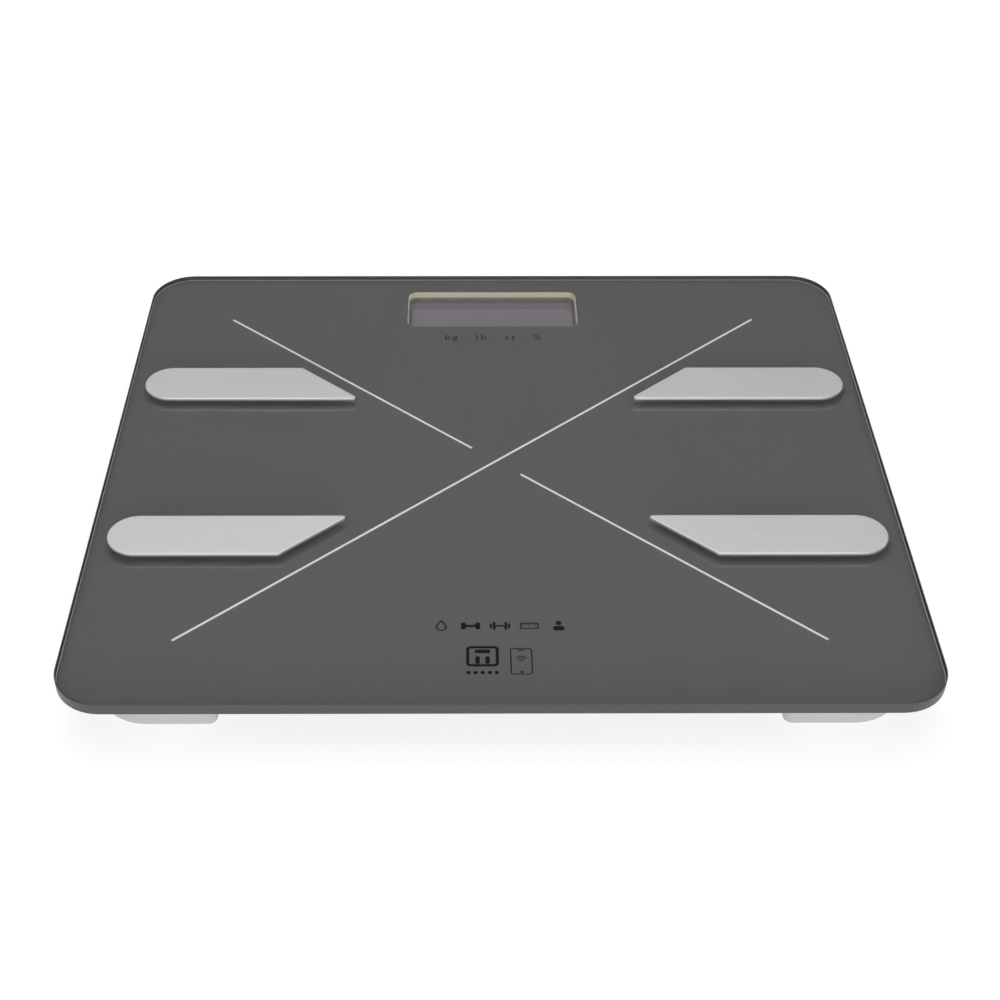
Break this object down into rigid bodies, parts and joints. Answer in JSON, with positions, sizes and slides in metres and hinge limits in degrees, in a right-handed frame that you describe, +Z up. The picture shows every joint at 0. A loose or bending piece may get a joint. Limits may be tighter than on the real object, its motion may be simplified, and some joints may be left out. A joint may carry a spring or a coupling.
{
  "type": "digital bathroom scale",
  "caption": "Low glass platform scale with rounded corners, metal electrode strips, a small display window at the back edge and floating corner feet.",
  "frame": {"origin": "on the floor, under the middle of the platform", "axes": "+Z up, +X to the user's right, +Y away from the user towards the display end"},
  "size_m": [0.3, 0.26, 0.024],
  "materials": {
    "tempered_glass": "clear tempered glass with ground edges",
    "grey_print": "even grey ink on the glass underside",
    "silver_print": "pale silver ink",
    "satin_steel": "satin stainless sheet",
    "bush_nylon": "natural nylon",
    "tinned_brass": "tinned stamped brass",
    "zinc_steel": "bright zinc plated steel",
    "foot_plastic": "light grey ABS, fine spark texture",
    "sole_rubber": "soft dark grey rubber",
    "foam_tape": "white acrylic foam tape",
    "cell_steel": "nickel plated spring steel",
    "gauge_sealant": "white silicone sealant",
    "housing_plastic": "light grey ABS, fine spark texture",
    "door_plastic": "light grey ABS, fine spark texture",
    "button_plastic": "dark grey ABS",
    "lead_white": "white PVC sleeve",
    "lead_red": "red PVC sleeve",
    "lcd_glass": "reflective display glass, unlit",
    "bezel_plastic": "cream plastic",
    "reflector_sheet": "grey reflector film",
    "elastomer": "pink and black striped elastomer",
    "board_green": "green solder resist",
    "chip_black": "black moulded package",
    "radio_can": "tinned shield can",
    "battery_sleeve": "printed foil sleeve",
    "spring_nickel": "nickel plated spring wire"
  },
  "bodies": {
    "platform": {"battery_1": "battery_sleeve", "battery_2": "battery_sleeve", "battery_3": "battery_sleeve", "battery_contacts": "spring_nickel", "battery_leads": "lead_red", "battery_springs": "spring_nickel", "board_components": "chip_black", "cable_duct_back_left": "housing_plastic", "cable_duct_back_right": "housing_plastic", "cable_duct_front_left": "housing_plastic", "cable_duct_front_right": "housing_plastic", "cell_screws": "zinc_steel", "circuit_board": "board_green", "cover_screws": "zinc_steel", "diagonal_lines": "silver_print", "electrode_back_left": "satin_steel", "electrode_back_right": "satin_steel", "electrode_front_left": "satin_steel", "electrode_front_right": "satin_steel", "electrode_leads": "lead_red", "foot_housing_back_left": "foot_plastic", "foot_housing_back_right": "foot_plastic", "foot_housing_front_left": "foot_plastic", "foot_housing_front_right": "foot_plastic", "foot_pads": "foam_tape", "frame_pad": "foam_tape", "glass_platform": "tempered_glass", "housing_cover": "housing_plastic", "housing_frame": "housing_plastic", "ink_layer": "grey_print", "lcd_bezel": "bezel_plastic", "lcd_connectors": "elastomer", "lcd_glass": "lcd_glass", "lcd_reflector": "reflector_sheet", "load_cell_back_left": "cell_steel", "load_cell_back_right": "cell_steel", "load_cell_front_left": "cell_steel", "load_cell_front_right": "cell_steel", "load_cell_lead_back_left": "lead_white", "load_cell_lead_back_right": "lead_white", "load_cell_lead_front_left": "lead_white", "load_cell_lead_front_right": "lead_white", "main_chip": "chip_black", "ring_terminals": "tinned_brass", "strain_gauges": "gauge_sealant", "stud_bushes": "bush_nylon", "stud_nuts": "zinc_steel", "unit_switch": "chip_black", "wireless_module": "radio_can"},
    "foot_front_left": {"foot_cup_front_left": "foot_plastic", "foot_sole_front_left": "sole_rubber"},
    "foot_front_right": {"foot_cup_front_right": "foot_plastic", "foot_sole_front_right": "sole_rubber"},
    "foot_back_left": {"foot_cup_back_left": "foot_plastic", "foot_sole_back_left": "sole_rubber"},
    "foot_back_right": {"foot_cup_back_right": "foot_plastic", "foot_sole_back_right": "sole_rubber"},
    "door": {"battery_door": "door_plastic"},
    "button": {"unit_button": "button_plastic", "switch_plunger": "chip_black"}
  },
  "joints": [
    {"name": "foot_front_left_lift", "type": "slide", "parent": "platform", "child": "foot_front_left", "axis": [0, 0, 1], "range_m": [0, 0.0004], "stiffness_N_per_m": 200000, "deforming": ["load_cell_front_left"]},
    {"name": "foot_front_right_lift", "type": "slide", "parent": "platform", "child": "foot_front_right", "axis": [0, 0, 1], "range_m": [0, 0.0004], "stiffness_N_per_m": 200000, "deforming": ["load_cell_front_right"]},
    {"name": "foot_back_left_lift", "type": "slide", "parent": "platform", "child": "foot_back_left", "axis": [0, 0, 1], "range_m": [0, 0.0004], "stiffness_N_per_m": 200000, "deforming": ["load_cell_back_left"]},
    {"name": "foot_back_right_lift", "type": "slide", "parent": "platform", "child": "foot_back_right", "axis": [0, 0, 1], "range_m": [0, 0.0004], "stiffness_N_per_m": 200000, "deforming": ["load_cell_back_right"]},
    {"name": "battery_door_hinge", "type": "hinge", "parent": "platform", "child": "door", "pos_m": [0, 0.0513, 0.004], "axis": [-1, 0, 0], "range_deg": [0, 75]},
    {"name": "unit_button_press", "type": "slide", "parent": "platform", "child": "button", "axis": [0, 0, 1], "range_m": [0, 0.0004], "stiffness_N_per_m": 1500}
  ]
}
